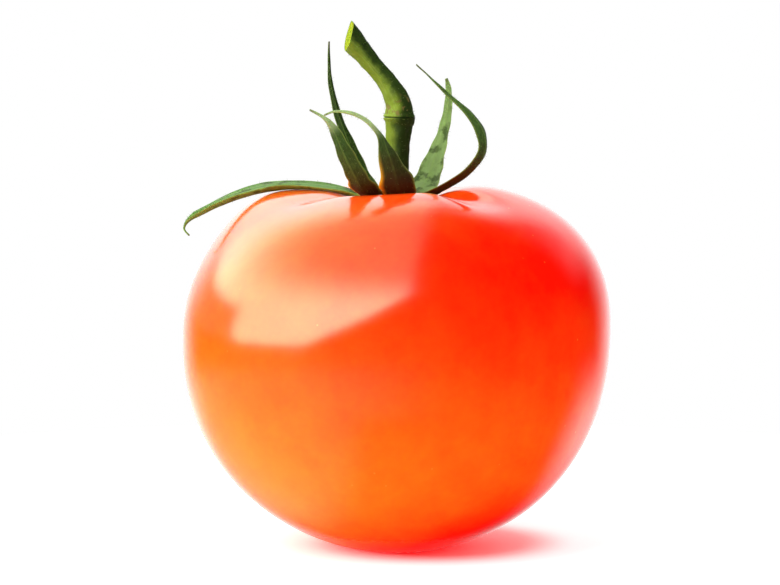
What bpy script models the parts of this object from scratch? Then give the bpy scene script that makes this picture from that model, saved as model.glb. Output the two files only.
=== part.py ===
"""A ripe tomato standing on its blossom end, with its calyx and a length of fruit stalk.

Every length is in millimetres until it reaches the mesh, where MM turns it into metres.
The origin is the middle of the flat spot that the fruit rests on, with +Z up.
"""

import math

import bmesh
import bpy
from mathutils import Vector

MM = 0.001

# Fruit: a turned form with one outline below its widest circle and another above it.
RADIUS = 35.2
FRONT_TO_BACK = 0.98
BELLY_HEIGHT = 35.7
LOWER_DEPTH = 36.2
LOWER_FLATNESS = 2.18
LOWER_FULLNESS = 2.0
UPPER_HEIGHT = 24.8
UPPER_FLATNESS = 2.2
UPPER_FULLNESS = 2.4
LEAN = 0.06
DIMPLE_DEPTH = 5.0
DIMPLE_RADIUS = 8.0
FRUIT_SECTORS = 54
FRUIT_RINGS = 40

# Swellings and creases of the shoulders: azimuth and spread in degrees, the height that
# they add, and the distance from the axis and the reach at which they do so.
SWELLINGS = (
    (150.0, 50.0, 3.8, 25.0, 9.0),
    (265.0, 40.0, 0.2, 17.0, 8.0),
    (65.0, 40.0, -1.0, 17.0, 8.0),
    (316.0, 15.0, -1.6, 15.0, 7.0),
    (205.0, 14.0, -0.6, 15.0, 7.0),
    (95.0, 14.0, -0.6, 15.0, 7.0),
)

# Calyx disc: the green receptacle in the dimple.
GAP = 0.35
DISC_RADIUS = 5.0
DISC_THICKNESS = 1.3
DISC_LOBE = 0.3
DISC_LOBES = 6
DISC_RINGS = 10
DISC_SECTORS = 30

# Fruit stalk: the slanting plane that cuts it off, and along it a row for each place on
# its centre line with the radius there, past the knuckle and on beyond the cut.
STALK_RESOLUTION = 4
STALK_STEPS = 44
WELD = 1e-3
STALK_CUT_POINT = (-7.9, -0.2, 84.2)
STALK_CUT_NORMAL = (-0.95, -0.2, 0.25)
STALK_STATIONS = (
    (0.1, 0.0, 57.9, 2.5),
    (0.0, 0.0, 59.6, 2.0),
    (0.0, 0.0, 62.5, 1.9),
    (0.1, 0.0, 66.0, 1.95),
    (0.3, 0.0, 69.4, 2.15),
    (0.4, 0.0, 70.5, 2.5),
    (0.4, 0.0, 71.2, 2.65),
    (0.4, 0.0, 71.9, 2.3),
    (0.3, 0.0, 73.2, 2.1),
    (-0.3, 0.0, 74.8, 1.9),
    (-1.6, 0.1, 76.9, 1.6),
    (-3.3, 0.2, 79.0, 1.5),
    (-5.2, 0.1, 81.3, 1.65),
    (-6.8, -0.1, 83.1, 1.95),
    (-8.6, -0.3, 85.0, 2.35),
    (-11.0, -0.5, 87.4, 2.6),
)

# Sepals: each row is a place on the midrib and the width there. The side vectors give
# the direction of the width at the base and at the tip, and the cupping how far the
# edges stand off the midrib in a blade of the cup width.
SEPAL_THICKNESS = 0.7
SEPAL_CELLS_ALONG = 22
SEPAL_CELLS_ACROSS = 4
SEPAL_CUP_WIDTH = 5.0
SEPAL_PROBE = 0.02
SEPALS = {
    "sepal_left": {
        "stations": (
            (-5.9, 1.2, 58.2, 2.6),
            (-9.0, 2.0, 59.7, 3.8),
            (-14.0, 3.4, 60.1, 4.6),
            (-20.0, 4.6, 60.2, 4.4),
            (-25.0, 5.0, 59.2, 3.6),
            (-30.0, 4.8, 56.9, 2.4),
            (-34.0, 4.2, 54.5, 0.9),
            (-35.1, 3.9, 52.7, 0.4),
            (-34.2, 3.4, 51.4, 0.35),
        ),
        "base_side": (0.15, 1.0, 0.0),
        "tip_side": (0.1, 1.0, -0.1),
        "cupping": -0.6,
    },
    "sepal_front_left": {
        "stations": (
            (-3.7, -4.4, 58.1, 2.6),
            (-5.4, -7.6, 59.9, 4.6),
            (-6.6, -9.3, 62.0, 3.6),
            (-8.3, -10.5, 65.6, 2.9),
            (-10.0, -11.0, 69.2, 1.7),
            (-11.6, -11.2, 71.4, 0.7),
            (-14.0, -11.5, 72.7, 0.35),
        ),
        "base_side": (1.0, -0.55, 0.0),
        "tip_side": (1.0, -0.2, 0.4),
        "cupping": 0.5,
    },
    "sepal_back_left": {
        "stations": (
            (-3.9, 4.2, 58.0, 2.6),
            (-5.8, 7.0, 60.4, 4.2),
            (-7.1, 8.6, 63.6, 3.4),
            (-8.4, 9.7, 67.2, 2.2),
            (-9.8, 10.8, 71.2, 1.4),
            (-11.0, 11.7, 76.0, 0.9),
            (-11.3, 12.0, 80.0, 0.5),
            (-11.3, 12.0, 83.6, 0.35),
        ),
        "base_side": (1.0, 0.7, 0.0),
        "tip_side": (1.0, 0.3, 0.0),
        "cupping": -0.4,
    },
    "sepal_front": {
        "stations": (
            (0.6, -5.8, 58.5, 2.6),
            (0.1, -8.9, 60.1, 5.4),
            (-0.6, -10.2, 62.6, 4.4),
            (-1.7, -10.9, 66.0, 2.8),
            (-2.7, -11.2, 68.6, 1.3),
            (-4.7, -11.7, 70.8, 1.0),
            (-7.2, -12.0, 72.1, 0.7),
            (-9.8, -12.1, 72.5, 0.45),
            (-11.6, -12.6, 71.9, 0.35),
        ),
        "base_side": (1.0, 0.0, 0.0),
        "tip_side": (0.0, 1.0, 0.3),
        "cupping": 0.5,
    },
    "sepal_back_right": {
        "stations": (
            (3.7, 4.6, 58.4, 2.6),
            (5.2, 6.2, 60.8, 4.4),
            (6.5, 8.0, 64.2, 3.2),
            (7.7, 9.4, 68.0, 2.1),
            (8.5, 10.3, 71.6, 1.5),
            (8.7, 10.5, 75.0, 1.0),
            (8.3, 10.3, 77.5, 0.4),
        ),
        "base_side": (1.0, -0.6, 0.0),
        "tip_side": (1.0, -0.3, 0.0),
        "cupping": -0.5,
    },
    "sepal_right": {
        "stations": (
            (5.8, -1.7, 58.7, 2.4),
            (8.7, -3.4, 60.4, 3.2),
            (11.6, -4.8, 62.6, 2.4),
            (13.7, -5.6, 65.6, 2.0),
            (13.6, -5.9, 69.0, 1.8),
            (11.7, -5.8, 72.0, 1.4),
            (8.6, -5.5, 74.6, 0.8),
            (5.6, -4.9, 77.4, 0.5),
            (3.2, -4.2, 79.8, 0.35),
        ),
        "base_side": (0.45, 1.0, 0.0),
        "tip_side": (0.3, 0.6, 0.4),
        "cupping": 0.4,
    },
}

# Finishes: colour as linear red, green and blue, then roughness.
FINISHES = {
    "ripe_skin": ((0.80, 0.07, 0.01, 1.0), 0.25),
    "calyx_green": ((0.16, 0.26, 0.04, 1.0), 0.60),
    "stalk_green": ((0.14, 0.24, 0.03, 1.0), 0.55),
    "sepal_green": ((0.11, 0.20, 0.03, 1.0), 0.60),
}


def clear_scene():
    """Remove whatever the file opened with."""
    for item in list(bpy.data.objects):
        bpy.data.objects.remove(item, do_unlink=True)


def make_collection(name):
    """Return a new collection linked to the scene."""
    collection = bpy.data.collections.new(name)
    bpy.context.scene.collection.children.link(collection)
    return collection


def make_finish(finish, name):
    """Return a piece's own material from a finish's colour and roughness."""
    colour, roughness = FINISHES[finish]
    material = bpy.data.materials.new(f"{name}_{finish}")
    material.use_nodes = True
    shader = material.node_tree.nodes["Principled BSDF"]
    shader.inputs["Base Color"].default_value = colour
    shader.inputs["Roughness"].default_value = roughness
    shader.inputs["Metallic"].default_value = 0.0
    return material


def finish_mesh(shape, name, finish, collection):
    """Turn a bmesh in millimetres into a named object in metres, with its finish."""
    bmesh.ops.scale(shape, vec=(MM, MM, MM), verts=shape.verts)
    mesh = bpy.data.meshes.new(name)
    shape.to_mesh(mesh)
    shape.free()
    mesh.materials.append(make_finish(finish, name))
    mesh.shade_smooth()
    item = bpy.data.objects.new(name, mesh)
    collection.objects.link(item)
    return item


def smooth_step(value):
    """Ease from 0 to 1 as value does, level at both ends."""
    value = min(max(value, 0.0), 1.0)
    return value * value * (3.0 - 2.0 * value)


def turn_between(azimuth, centre):
    """Angle in degrees from centre to azimuth, from -180 to 180."""
    return (azimuth - centre + 180.0) % 360.0 - 180.0


def bell(distance, reach):
    """A bell curve that is 1 at no distance."""
    return math.exp(-((distance / reach) ** 2))


def shoulder_height(radius, azimuth):
    """Height of the skin of the upper half above the ground, before the fruit leans."""
    fullness = max(1.0 - (radius / RADIUS) ** UPPER_FULLNESS, 0.0)
    height = BELLY_HEIGHT + UPPER_HEIGHT * fullness ** (1.0 / UPPER_FLATNESS)
    height -= DIMPLE_DEPTH * bell(radius, DIMPLE_RADIUS)
    for centre, spread, rise, distance, reach in SWELLINGS:
        turn = turn_between(azimuth, centre)
        height += rise * bell(turn, spread) * bell(radius - distance, reach)
    return height


def belly_depth(radius):
    """Height of the skin of the lower half, which runs on below the ground."""
    fullness = max(1.0 - (radius / RADIUS) ** LOWER_FULLNESS, 0.0)
    return BELLY_HEIGHT - LOWER_DEPTH * fullness ** (1.0 / LOWER_FLATNESS)


def lean_over(x, height):
    """Height of a point once the fruit leans, by more towards the top."""
    return height + LEAN * x * smooth_step(height / (BELLY_HEIGHT + UPPER_HEIGHT))


def skin_height(x, y):
    """Height of the skin of the upper half over a place on the ground."""
    depth = y / FRONT_TO_BACK
    azimuth = math.degrees(math.atan2(depth, x))
    return lean_over(x, shoulder_height(math.hypot(x, depth), azimuth))


def skin_point(latitude, azimuth):
    """Point on the skin from its latitude and its azimuth in radians."""
    radius = RADIUS * math.cos(latitude)
    x = radius * math.cos(azimuth)
    y = radius * math.sin(azimuth) * FRONT_TO_BACK
    if latitude > 0.0:
        return Vector((x, y, skin_height(x, y)))
    return Vector((x, y, lean_over(x, belly_depth(radius))))


def disc_point(latitude, azimuth):
    """Point on the calyx disc, which follows the dimple that it sits in."""
    radius = DISC_RADIUS + DISC_LOBE * math.cos(DISC_LOBES * azimuth)
    x = radius * math.cos(latitude) * math.cos(azimuth)
    y = radius * math.cos(latitude) * math.sin(azimuth)
    height = skin_height(x, y) + GAP + DISC_THICKNESS * max(math.sin(latitude), 0.0)
    return Vector((x, y, height))


def reshape_sphere(sectors, rings, place):
    """Return a sphere in a bmesh whose points are put where place says."""
    shape = bmesh.new()
    bmesh.ops.create_uvsphere(shape, u_segments=sectors, v_segments=rings, radius=1.0)
    for vert in shape.verts:
        latitude = math.asin(min(max(vert.co.z, -1.0), 1.0))
        vert.co = place(latitude, math.atan2(vert.co.y, vert.co.x))
    return shape


def cut_flat(shape, point, normal):
    """Cut away what lies beyond a plane, on its normal's side, and close the cut."""
    geometry = shape.verts[:] + shape.edges[:] + shape.faces[:]
    bmesh.ops.bisect_plane(
        shape, geom=geometry, plane_co=point, plane_no=normal, dist=1e-5, clear_outer=True
    )
    rim = [edge for edge in shape.edges if edge.is_boundary]
    bmesh.ops.contextual_create(shape, geom=rim)
    bmesh.ops.recalc_face_normals(shape, faces=shape.faces[:])


def make_fruit(collection):
    """The whole fruit: its dimple on top and, beneath, the flat spot that it rests on."""
    shape = reshape_sphere(FRUIT_SECTORS, FRUIT_RINGS, skin_point)
    cut_flat(shape, (0.0, 0.0, 0.0), (0.0, 0.0, -1.0))
    finish_mesh(shape, "fruit", "ripe_skin", collection)


def make_calyx_disc(collection):
    """The receptacle in the dimple, where the sepals and the stalk meet."""
    shape = reshape_sphere(DISC_SECTORS, DISC_RINGS, disc_point)
    finish_mesh(shape, "calyx_disc", "calyx_green", collection)


def between_stations(stations, fraction):
    """Values on a smooth curve through rows of numbers.

    Fraction runs from 0 at the first row to 1 at the last.
    """
    spans = len(stations) - 1
    place = min(max(fraction, 0.0), 1.0) * spans
    first = min(int(place), spans - 1)
    step = place - first
    rows = [stations[min(max(first + shift, 0), spans)] for shift in (-1, 0, 1, 2)]
    weights = (
        -0.5 * step + step**2 - 0.5 * step**3,
        1.0 - 2.5 * step**2 + 1.5 * step**3,
        0.5 * step + 2.0 * step**2 - 1.5 * step**3,
        -0.5 * step**2 + 0.5 * step**3,
    )
    return [sum(w * value for w, value in zip(weights, column)) for column in zip(*rows)]


def make_stalk(collection):
    """The fruit stalk, with its knuckle and the slanting cut at its upper end."""
    outline = bpy.data.curves.new("stalk_line", "CURVE")
    outline.dimensions = "3D"
    outline.bevel_depth = 1.0
    outline.bevel_resolution = STALK_RESOLUTION
    outline.use_fill_caps = True
    spline = outline.splines.new("POLY")
    spline.points.add(STALK_STEPS)
    for index, point in enumerate(spline.points):
        x, y, z, radius = between_stations(STALK_STATIONS, index / STALK_STEPS)
        point.co = (x, y, z, 1.0)
        point.radius = radius
    guide = bpy.data.objects.new("stalk_line", outline)
    collection.objects.link(guide)
    evaluated = guide.evaluated_get(bpy.context.evaluated_depsgraph_get())
    grown = bpy.data.meshes.new_from_object(evaluated)
    shape = bmesh.new()
    shape.from_mesh(grown)
    bmesh.ops.remove_doubles(shape, verts=shape.verts[:], dist=WELD)
    cut_flat(shape, STALK_CUT_POINT, STALK_CUT_NORMAL)
    bpy.data.objects.remove(guide, do_unlink=True)
    bpy.data.meshes.remove(grown)
    finish_mesh(shape, "stalk", "stalk_green", collection)


def make_sepal(name, sepal, collection):
    """One sepal: a cupped blade that narrows to a fine tip, with its thickness."""
    stations = sepal["stations"]
    base_side = Vector(sepal["base_side"])
    tip_side = Vector(sepal["tip_side"])
    shape = bmesh.new()
    bmesh.ops.create_grid(
        shape, x_segments=SEPAL_CELLS_ALONG, y_segments=SEPAL_CELLS_ACROSS, size=0.5
    )
    for vert in shape.verts:
        along = vert.co.x + 0.5
        across = vert.co.y * 2.0
        x, y, z, width = between_stations(stations, along)
        ahead = Vector(between_stations(stations, along + SEPAL_PROBE)[:3])
        behind = Vector(between_stations(stations, along - SEPAL_PROBE)[:3])
        tangent = (ahead - behind).normalized()
        side = base_side.lerp(tip_side, along)
        side = (side - tangent * side.dot(tangent)).normalized()
        face = tangent.cross(side)
        cup = sepal["cupping"] * (across**2 - 0.5) * width / SEPAL_CUP_WIDTH
        vert.co = Vector((x, y, z)) + side * across * width / 2.0 + face * cup
    item = finish_mesh(shape, name, "sepal_green", collection)
    blade = item.modifiers.new("thickness", "SOLIDIFY")
    blade.thickness = SEPAL_THICKNESS * MM
    blade.offset = 0.0


def main():
    """Build the tomato."""
    clear_scene()
    collection = make_collection("tomato")
    make_fruit(collection)
    make_calyx_disc(collection)
    make_stalk(collection)
    for name, sepal in SEPALS.items():
        make_sepal(name, sepal, collection)


main()
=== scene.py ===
"""Looks of a ripe tomato standing on its blossom end: fruit, calyx disc, stalk and sepals.

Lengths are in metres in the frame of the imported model, unless a name or a comment says
millimetres. A place in a route is in shares of the box of the piece's own solid in that
frame, from its lowest corner to its highest.
"""

import logging
import math
import random
from collections.abc import Callable, Mapping, Sequence
from dataclasses import dataclass, field
from enum import Enum
from typing import Any

import bmesh
import bpy
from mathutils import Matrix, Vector, noise


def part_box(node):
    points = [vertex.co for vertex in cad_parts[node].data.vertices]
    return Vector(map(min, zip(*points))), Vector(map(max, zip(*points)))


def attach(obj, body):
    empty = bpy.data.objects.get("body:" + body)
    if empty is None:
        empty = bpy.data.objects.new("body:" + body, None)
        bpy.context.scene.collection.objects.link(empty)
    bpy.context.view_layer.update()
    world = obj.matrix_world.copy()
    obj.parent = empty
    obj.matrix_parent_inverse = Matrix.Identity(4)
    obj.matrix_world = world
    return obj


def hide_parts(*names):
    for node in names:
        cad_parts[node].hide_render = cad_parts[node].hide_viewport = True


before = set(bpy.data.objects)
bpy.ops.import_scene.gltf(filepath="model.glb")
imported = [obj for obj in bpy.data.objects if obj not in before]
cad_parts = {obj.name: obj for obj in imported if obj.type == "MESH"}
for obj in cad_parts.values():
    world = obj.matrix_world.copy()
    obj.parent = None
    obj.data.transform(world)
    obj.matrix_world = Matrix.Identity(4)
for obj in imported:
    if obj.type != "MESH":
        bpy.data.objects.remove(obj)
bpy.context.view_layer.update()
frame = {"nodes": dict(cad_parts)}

MM = 0.001
BODY = "root"
LOG = logging.getLogger("tomato")

Colour = tuple[float, float, float]
Range = tuple[float, float]
Row = tuple[float, ...]
# The place of a point from its share of the way between the poles and its angle round them.
Surface = Callable[[float, float], Vector]

BLACK: Colour = (0.0, 0.0, 0.0)
WHITE: Colour = (1.0, 1.0, 1.0)


class Slot(Enum):
    """The record's material slots."""

    SKIN = "ripe_skin"
    CALYX = "calyx"
    STALK = "stalk"
    SEPAL = "sepal"


# ---------------------------------------------------------------------------------------
# Numbers and curves
# ---------------------------------------------------------------------------------------


def ease(value: float, low: float = 0.0, high: float = 1.0) -> float:
    """Rise smoothly from 0 at low to 1 at high.

    Args:
        value: The number to ease.
        low: Where the rise starts.
        high: Where it ends.

    Returns:
        A number from 0 to 1, level at both ends.
    """
    step = min(max((value - low) / (high - low), 0.0), 1.0)
    return step * step * (3.0 - 2.0 * step)


def bell(distance: float, reach: float) -> float:
    """A bell curve that is 1 at no distance and falls off over the reach."""
    return math.exp(-((distance / reach) ** 2))


def turn_between(azimuth: float, centre: float) -> float:
    """The angle in degrees from centre to azimuth, from -180 to 180."""
    return (azimuth - centre + 180.0) % 360.0 - 180.0


def between_rows(rows: Sequence[Row], share: float) -> list[float]:
    """Read a smooth curve that runs through rows of numbers.

    Args:
        rows: The rows, all of one length.
        share: Where to read, from 0 at the first row to 1 at the last.

    Returns:
        The numbers of a row at that place.
    """
    spans = len(rows) - 1
    place = min(max(share, 0.0), 1.0) * spans
    first = min(int(place), spans - 1)
    step = place - first
    near = [rows[min(max(first + shift, 0), spans)] for shift in (-1, 0, 1, 2)]
    weights = (
        -0.5 * step + step**2 - 0.5 * step**3,
        1.0 - 2.5 * step**2 + 1.5 * step**3,
        0.5 * step + 2.0 * step**2 - 1.5 * step**3,
        -0.5 * step**2 + 0.5 * step**3,
    )
    return [sum(w * value for w, value in zip(weights, column)) for column in zip(*near)]


def lump(place: Vector, size: float) -> float:
    """Smooth noise from about -1 to 1 whose lumps are about as wide as size."""
    return noise.noise(place / size)


# ---------------------------------------------------------------------------------------
# Materials
# ---------------------------------------------------------------------------------------


class Value:
    """A socket of a material that Python arithmetic can be done with."""

    def __init__(self, sheet: "NodeSheet", socket: bpy.types.NodeSocket) -> None:
        """Wrap a socket of a sheet's tree."""
        self.sheet = sheet
        self.socket = socket

    def _math(self, operation: str, *terms: "Value | float") -> "Value":
        """Add the Math node of an operation on the terms."""
        settings = {"operation": operation}
        return self.sheet.node("ShaderNodeMath", settings, dict(enumerate(terms)))

    def __add__(self, other: "Value | float") -> "Value":
        """Self plus other."""
        return self._math("ADD", self, other)

    def __sub__(self, other: "Value | float") -> "Value":
        """Self minus other."""
        return self._math("SUBTRACT", self, other)

    def __rsub__(self, other: float) -> "Value":
        """Other minus self."""
        return self._math("SUBTRACT", other, self)

    def __mul__(self, other: "Value | float") -> "Value":
        """Self times other."""
        return self._math("MULTIPLY", self, other)

    def __pow__(self, power: float) -> "Value":
        """Self to a power."""
        return self._math("POWER", self, power)

    def __abs__(self) -> "Value":
        """Self without its sign."""
        return self._math("ABSOLUTE", self)

    __radd__ = __add__
    __rmul__ = __mul__

    def ease(self, low: float, high: float) -> "Value":
        """Rise smoothly from 0 at low to 1 at high, or fall where low is the larger.

        Args:
            low: Where the result is 0.
            high: Where it is 1.

        Returns:
            A value from 0 to 1, level at both ends.
        """
        settings = {"interpolation_type": "SMOOTHSTEP"}
        inputs = {"Value": self, "From Min": low, "From Max": high}
        return self.sheet.node("ShaderNodeMapRange", settings, inputs)

    def at_most(self, limit: float) -> "Value":
        """Self, or the limit where self is over it."""
        return self._math("MINIMUM", self, limit)

    def hypot(self, other: "Value") -> "Value":
        """The distance that self and other make at right angles."""
        return (self * self + other * other) ** 0.5


class NodeSheet:
    """The node tree of a material, or of the world."""

    def __init__(self, owner: bpy.types.Material | bpy.types.World) -> None:
        """Start from the tree that Blender gives the owner.

        Args:
            owner: The material or world.
        """
        self.owner = owner
        self.owner.use_nodes = True
        self.tree = self.owner.node_tree

    @classmethod
    def of_material(cls, name: str) -> "NodeSheet":
        """Start a new material, which holds a Principled shader alone."""
        return cls(bpy.data.materials.new(name))

    def feed(self, socket: bpy.types.NodeSocket, value: Any) -> None:
        """Fill a socket.

        Args:
            socket: The socket.
            value: A value to link to it, or a number, colour or vector to set it to.
        """
        if isinstance(value, Value):
            self.tree.links.new(value.socket, socket)
        elif socket.type == "RGBA":
            socket.default_value = (*value, 1.0)
        else:
            socket.default_value = value

    def node(
        self,
        kind: str,
        settings: Mapping[str, Any] | None = None,
        inputs: Mapping[str | int, Any] | None = None,
        output: str | int = 0,
    ) -> Value:
        """Add a node.

        Args:
            kind: The node's type.
            settings: Its own settings, set first.
            inputs: Numbers, colours, vectors or values for its sockets.
            output: The socket to hand on.

        Returns:
            The chosen output.
        """
        made = self.tree.nodes.new(kind)
        for name, setting in (settings or {}).items():
            setattr(made, name, setting)
        for socket, value in (inputs or {}).items():
            self.feed(made.inputs[socket], value)
        return Value(self, made.outputs[output])

    def place(self) -> Value:
        """The place on the object, in metres."""
        return self.node("ShaderNodeTexCoord", output="Object")

    def growth(self) -> Value:
        """The place along and round the piece, as its mesh was grown."""
        settings = {"attribute_name": "growth"}
        return self.node("ShaderNodeAttribute", settings, output="Vector")

    def axes(self, vector: Value) -> tuple[Value, Value, Value]:
        """Take a vector apart.

        Args:
            vector: The vector.

        Returns:
            Its three numbers.
        """
        first = self.node("ShaderNodeSeparateXYZ", inputs={0: vector})
        outputs = first.socket.node.outputs
        return Value(self, outputs[0]), Value(self, outputs[1]), Value(self, outputs[2])

    def vector(self, x: Value | float, y: Value | float, z: Value | float) -> Value:
        """Put a vector together."""
        return self.node("ShaderNodeCombineXYZ", inputs={0: x, 1: y, 2: z})

    def noise(self, where: Value, scale: float, detail: float = 2.0) -> Value:
        """Noise about 0.5, with scale waves to the metre."""
        inputs = {"Vector": where, "Scale": scale, "Detail": detail}
        return self.node("ShaderNodeTexNoise", {}, inputs)

    def specks(self, where: Value, scale: float, size: float, share: float) -> Value:
        """Scatter round specks.

        Args:
            where: The place to look up.
            scale: Cells to the metre, each with at most one speck.
            size: A speck's radius as a share of its cell.
            share: The share of the cells that have one.

        Returns:
            A mask that is 1 in a speck.
        """
        inputs = {"Vector": where, "Scale": scale}
        cell = self.node("ShaderNodeTexVoronoi", {"feature": "F1"}, inputs)
        red, _, _ = self.axes(Value(self, cell.socket.node.outputs["Color"]))
        return cell.ease(size, size * 0.5) * red.ease(share + 0.01, share)

    def mix(self, under: Value | Colour, over: Value | Colour, factor: Value | float) -> Value:
        """Let the second colour show over the first as far as the factor says, from 0 to 1."""
        inputs = {0: factor, 6: under, 7: over}
        return self.node("ShaderNodeMix", {"data_type": "RGBA"}, inputs, output=2)

    def bump(self, height: Value, depth: float) -> Value:
        """Turn a height from 0 to 1 into a normal, for a relief as deep as depth."""
        inputs = {"Strength": 1.0, "Distance": depth, "Height": height}
        return self.node("ShaderNodeBump", {}, inputs)

    def finish(self, **inputs: Any) -> bpy.types.Material:
        """Close the material.

        Args:
            inputs: The shader's sockets, named with underscores, and what fills them.

        Returns:
            The material.
        """
        for name, value in inputs.items():
            self.feed(self.tree.nodes["Principled BSDF"].inputs[name.replace("_", " ")], value)
        return self.owner


@dataclass(frozen=True)
class Ripening:
    """How unripe the skin is over the fruit: a cubic of the shares across and up.

    Both shares run from -1 to 1. Each field is the weight of the product that it names.
    """

    level: float = 0.37
    across: float = -0.29
    up: float = -0.64
    across_across: float = 0.20
    across_up: float = 0.32
    up_up: float = -0.15
    across_up_up: float = -0.49
    up_up_up: float = 0.78

    def share(self, across: Value, up: Value) -> Value:
        """How unripe the skin is at a place.

        Args:
            across: How far to the right the place is.
            up: How far up it is.

        Returns:
            About 0 where the skin is red and 1 where it is orange.
        """
        flat = self.level + across * self.across + up * self.up
        curved = across * (across * self.across_across + up * self.across_up)
        twisted = up * up * (up * self.up_up_up + across * self.across_up_up + self.up_up)
        return flat + curved + twisted


@dataclass(frozen=True)
class Mottling:
    """A layer of blotches in the skin.

    Scale is how many there are to the metre, detail how broken they are and weight how far
    they shift the colour. A rise under 1 draws them out into upright streaks.
    """

    scale: float
    detail: float
    weight: float
    rise: float = 1.0

    def shift(self, sheet: NodeSheet, place: Value) -> Value:
        """How far the layer shifts the colour.

        Args:
            sheet: The material's sheet.
            place: The place on the fruit.

        Returns:
            A number on either side of 0.
        """
        x, y, z = sheet.axes(place)
        where = sheet.vector(x, y, z * self.rise)
        return (sheet.noise(where, self.scale, self.detail) - 0.5) * self.weight


@dataclass(frozen=True)
class SkinFinish:
    """Taut ripe skin: red at the upper right, orange low down on the left.

    A range is where a mark begins and where it is full: halo_edge and scar_edge are
    distances from the axis, halo_height is in shares of the fruit's height, and the other
    heights are over the ground.
    """

    radius: float
    height: float
    red: Colour = (0.92, 0.005, 0.0005)
    orange: Colour = (0.96, 0.235, 0.010)
    halo: Colour = (0.90, 0.33, 0.03)
    scar: Colour = (0.16, 0.08, 0.03)
    speck: Colour = (0.98, 0.30, 0.06)
    scatter: Colour = (1.0, 0.30, 0.10)
    scatter_depth: float = 1.6 * MM
    ripening: Ripening = Ripening()
    mottling: tuple[Mottling, ...] = (
        Mottling(42.0, 3.0, 0.34),
        Mottling(170.0, 2.0, 0.16),
        Mottling(900.0, 2.0, 0.10),
        Mottling(240.0, 2.0, 0.14, rise=0.12),
    )
    halo_edge: Range = (8.5 * MM, 5.0 * MM)
    halo_height: Range = (0.80, 0.92)
    halo_rays: float = 3.0 * MM
    scar_edge: Range = (1.7 * MM, 1.1 * MM)
    scar_height: Range = (2.0 * MM, 0.5 * MM)
    scar_rays: float = 1.2 * MM
    dull_height: Range = (5.0 * MM, 1.0 * MM)
    relief: float = 0.09 * MM

    def unripe(self, sheet: NodeSheet, place: Value) -> Value:
        """How far the skin is from ripe: 0 where it is red and 1 where it is orange.

        Args:
            sheet: The material's sheet.
            place: The place on the fruit.

        Returns:
            The share of orange, before it is clamped.
        """
        x, _, z = sheet.axes(place)
        across = x * (1.0 / self.radius)
        up = z * (2.0 / self.height) - 1.0
        belt = up.ease(-0.10, 0.12) * across.ease(-0.6, 0.0) * 0.05
        foot = up.ease(-0.6, -0.95) * 0.12
        base = self.ripening.share(across, up) - belt - foot
        lift = up.ease(-0.3, 0.4) * 0.08 - 0.04
        patches = sum(layer.shift(sheet, place) for layer in self.mottling)
        return base + lift + patches * (0.45 + base.ease(-0.1, 0.4) * 0.55)

    def material(self) -> bpy.types.Material:
        """Build the material.

        Returns:
            The material.
        """
        sheet = NodeSheet.of_material("ripe_skin")
        place = sheet.place()
        x, y, z = sheet.axes(place)
        colour = sheet.mix(self.red, self.orange, self.unripe(sheet, place))
        specks = sheet.specks(place, scale=560.0, size=0.12, share=0.06)
        colour = sheet.mix(colour, self.speck, specks * 0.35)
        out = x.hypot(y)
        ray = sheet.noise(sheet.vector(x, y, 0.0), 700.0) - 0.5
        top = z.ease(*(self.height * share for share in self.halo_height))
        halo = (out + ray * self.halo_rays).ease(*self.halo_edge) * top
        colour = sheet.mix(colour, self.halo, halo * 0.7)
        foot = z.ease(*self.scar_height)
        scar = (out + ray * self.scar_rays).ease(*self.scar_edge) * foot
        colour = sheet.mix(colour, self.scar, scar)
        dull = z.ease(*self.dull_height)
        peel = sheet.noise(place, 1400.0, 1.0)
        wave = sheet.noise(place, 130.0, 1.0)
        return sheet.finish(
            Base_Color=colour,
            Roughness=0.14 + peel * 0.05 + scar * 0.3 + dull * 0.4,
            Normal=sheet.bump(peel * 0.10 + wave * 0.90 + scar * 0.8, self.relief),
            IOR=1.42,
            Subsurface_Weight=1.0,
            Subsurface_Radius=self.scatter,
            Subsurface_Scale=self.scatter_depth,
            Coat_Weight=0.25 - dull * 0.25,
            Coat_Roughness=0.08,
            Coat_IOR=1.40,
        )


@dataclass(frozen=True)
class Tone:
    """How one sepal is coloured, in shares from 0 to 1.

    Inside and outside say how light the two faces are: partly their own colour, and where
    they are low, painted shade set by how lit each face is. Red says how far the base is
    darkened towards maroon, painted shade with a painted red reflection of the fruit; glow
    how strong a painted orange glow is on its left margin near the base, light from the
    fruit painted into the colour; and pale where along the blade it starts to turn paler
    towards the tip. One more share darkens the underside to a deeper green as painted
    shade, and frost is that of a pale bloom on both faces.
    """

    inside: float = 0.9
    outside: float = 0.4
    red: float = 0.0
    glow: float = 0.0
    pale: float = 2.0
    blotches: float = 0.5
    tip: float = 0.6
    underside_shade: float = 0.0
    frost: float = 0.0


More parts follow.
